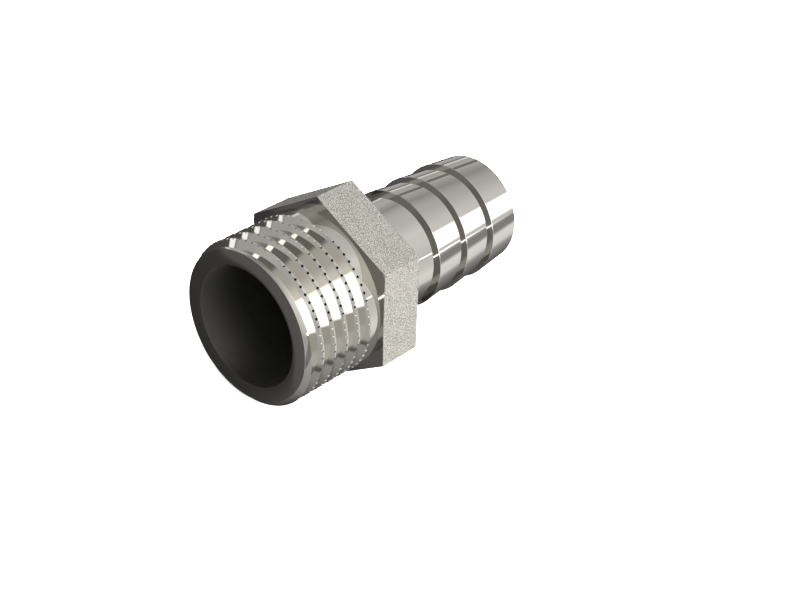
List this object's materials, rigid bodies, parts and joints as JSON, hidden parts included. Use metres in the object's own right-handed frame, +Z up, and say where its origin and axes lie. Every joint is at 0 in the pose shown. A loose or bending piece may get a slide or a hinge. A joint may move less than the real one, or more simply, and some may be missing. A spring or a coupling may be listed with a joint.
{
  "type": "hose tail fitting",
  "caption": "Straight hose tail with a male pipe thread, a spanner hexagon, a barbed tail for a hose and a stepped through bore.",
  "frame": {"origin": "on the fitting's axis, in the plane of the shoulder that seats on the socket", "axes": "+X along the axis towards the hose's end, the thread points to -X, +Z up, one flat of the hexagon faces -Z"},
  "size_m": [0.042, 0.0254, 0.022],
  "materials": {
    "stainless_steel": "turned and polished, with fine-grained hexagon flats"
  },
  "bodies": {
    "root": {"hose_tail": "stainless_steel"}
  },
  "joints": []
}
